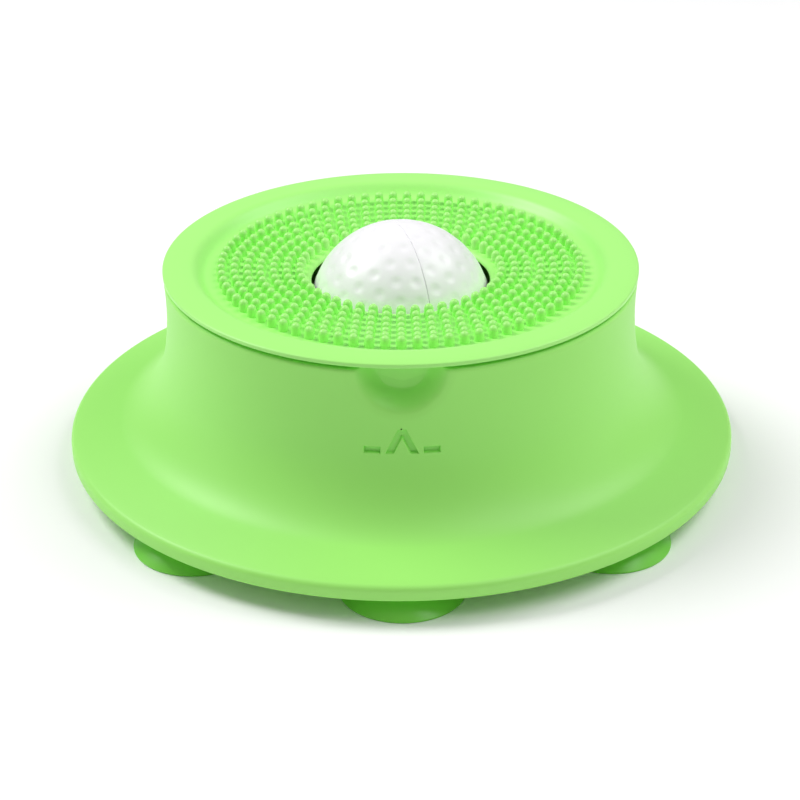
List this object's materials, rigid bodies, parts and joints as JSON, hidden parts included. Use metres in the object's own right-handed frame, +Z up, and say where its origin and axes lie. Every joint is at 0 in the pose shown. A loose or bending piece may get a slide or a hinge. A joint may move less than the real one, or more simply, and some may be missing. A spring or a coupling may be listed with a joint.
{
  "type": "lick ball treat feeder",
  "caption": "Round flared pet feeder on suction cups, with an inner food bowl, a prise-off lid with rings of soft nubs, and a white dimpled ball that rolls in the lid's central hole.",
  "frame": {"origin": "centre of the round base, on the surface that the suction cups stand on", "axes": "+Z up along the axis of the round base; the thumb notch faces -Y; +X to the right seen from the notch side"},
  "size_m": [0.1656, 0.1656, 0.06],
  "materials": {
    "shell_green": "satin moulded plastic, bright green",
    "lid_green": "satin moulded soft plastic, bright green",
    "cup_green": "smooth soft vinyl, green",
    "ball_white": "smooth moulded plastic, white",
    "seal_silicone": "matt silicone, pale",
    "screw_steel": "zinc plated"
  },
  "bodies": {
    "base": {"base_shell": "shell_green", "food_bowl": "shell_green", "bottom_cover": "shell_green", "cover_screw_1": "screw_steel", "cover_screw_2": "screw_steel", "cover_screw_3": "screw_steel", "cover_screw_4": "screw_steel", "suction_cup_1": "cup_green", "suction_cup_2": "cup_green", "suction_cup_3": "cup_green", "suction_cup_4": "cup_green", "suction_cup_5": "cup_green", "suction_cup_6": "cup_green", "suction_cup_7": "cup_green", "suction_cup_8": "cup_green"},
    "lid": {"lid": "lid_green", "lid_seal": "seal_silicone"},
    "ball": {"ball_half_left": "ball_white", "ball_half_right": "ball_white"}
  },
  "joints": [
    {"name": "lid_lift", "type": "slide", "parent": "base", "child": "lid", "axis": [0, 0, 1], "range_m": [0, 0.04]},
    {"name": "ball_roll", "type": "hinge", "parent": "base", "child": "ball", "pos_m": [0, 0, 0.0376], "axis": [1, 0, 0], "continuous": true}
  ]
}
